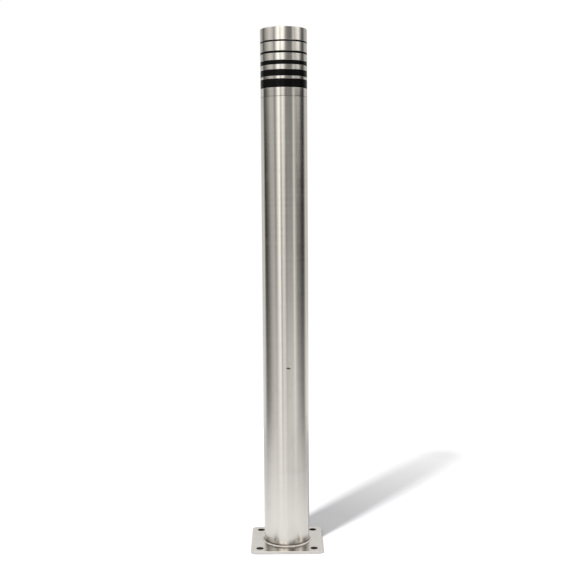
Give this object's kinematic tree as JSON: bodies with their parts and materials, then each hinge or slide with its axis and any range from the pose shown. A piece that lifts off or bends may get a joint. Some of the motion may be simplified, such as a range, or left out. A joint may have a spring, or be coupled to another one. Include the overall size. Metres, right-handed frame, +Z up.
{
  "type": "steel safety bollard",
  "caption": "Surface-mounted brushed steel bollard: round tube welded to a square base plate, with a flat-topped lift-off head banded in glossy black rings of growing height.",
  "frame": {"origin": "centre of the base plate's underside, on the floor under the post's axis", "axes": "+Z up along the post, -Y to the front, the two grub screws on the +Y side, plate sides along X and Y"},
  "size_m": [0.14, 0.14, 1],
  "materials": {
    "brushed_steel": "satin stainless, fine grain around the tube",
    "turned_steel": "fine turned stainless, slightly brighter than the tube",
    "weld_metal": "brushed weld bead with faint heat tint",
    "black_polymer": "glossy black",
    "zinc_plated_steel": "bright zinc plate",
    "seal_rubber": "matt black"
  },
  "bodies": {
    "post": {"base_plate": "brushed_steel", "base_weld": "weld_metal", "post_tube": "brushed_steel", "grub_screw_left": "zinc_plated_steel", "grub_screw_right": "zinc_plated_steel"},
    "head": {"head_collar": "turned_steel", "spigot_o_ring": "seal_rubber", "core_tube": "turned_steel", "black_ring_1": "black_polymer", "black_ring_2": "black_polymer", "black_ring_3": "black_polymer", "black_ring_4": "black_polymer", "black_ring_5": "black_polymer", "steel_ring_1": "turned_steel", "steel_ring_2": "turned_steel", "steel_ring_3": "turned_steel", "steel_ring_4": "turned_steel", "head_cap": "turned_steel", "cap_o_ring": "seal_rubber", "tie_rod": "zinc_plated_steel", "tie_rod_washer": "zinc_plated_steel", "tie_rod_spring_washer": "zinc_plated_steel", "tie_rod_nut": "zinc_plated_steel"}
  },
  "joints": [
    {"name": "head_lift", "type": "slide", "parent": "post", "child": "head", "axis": [0, 0, 1], "range_m": [0, 0.08]}
  ]
}
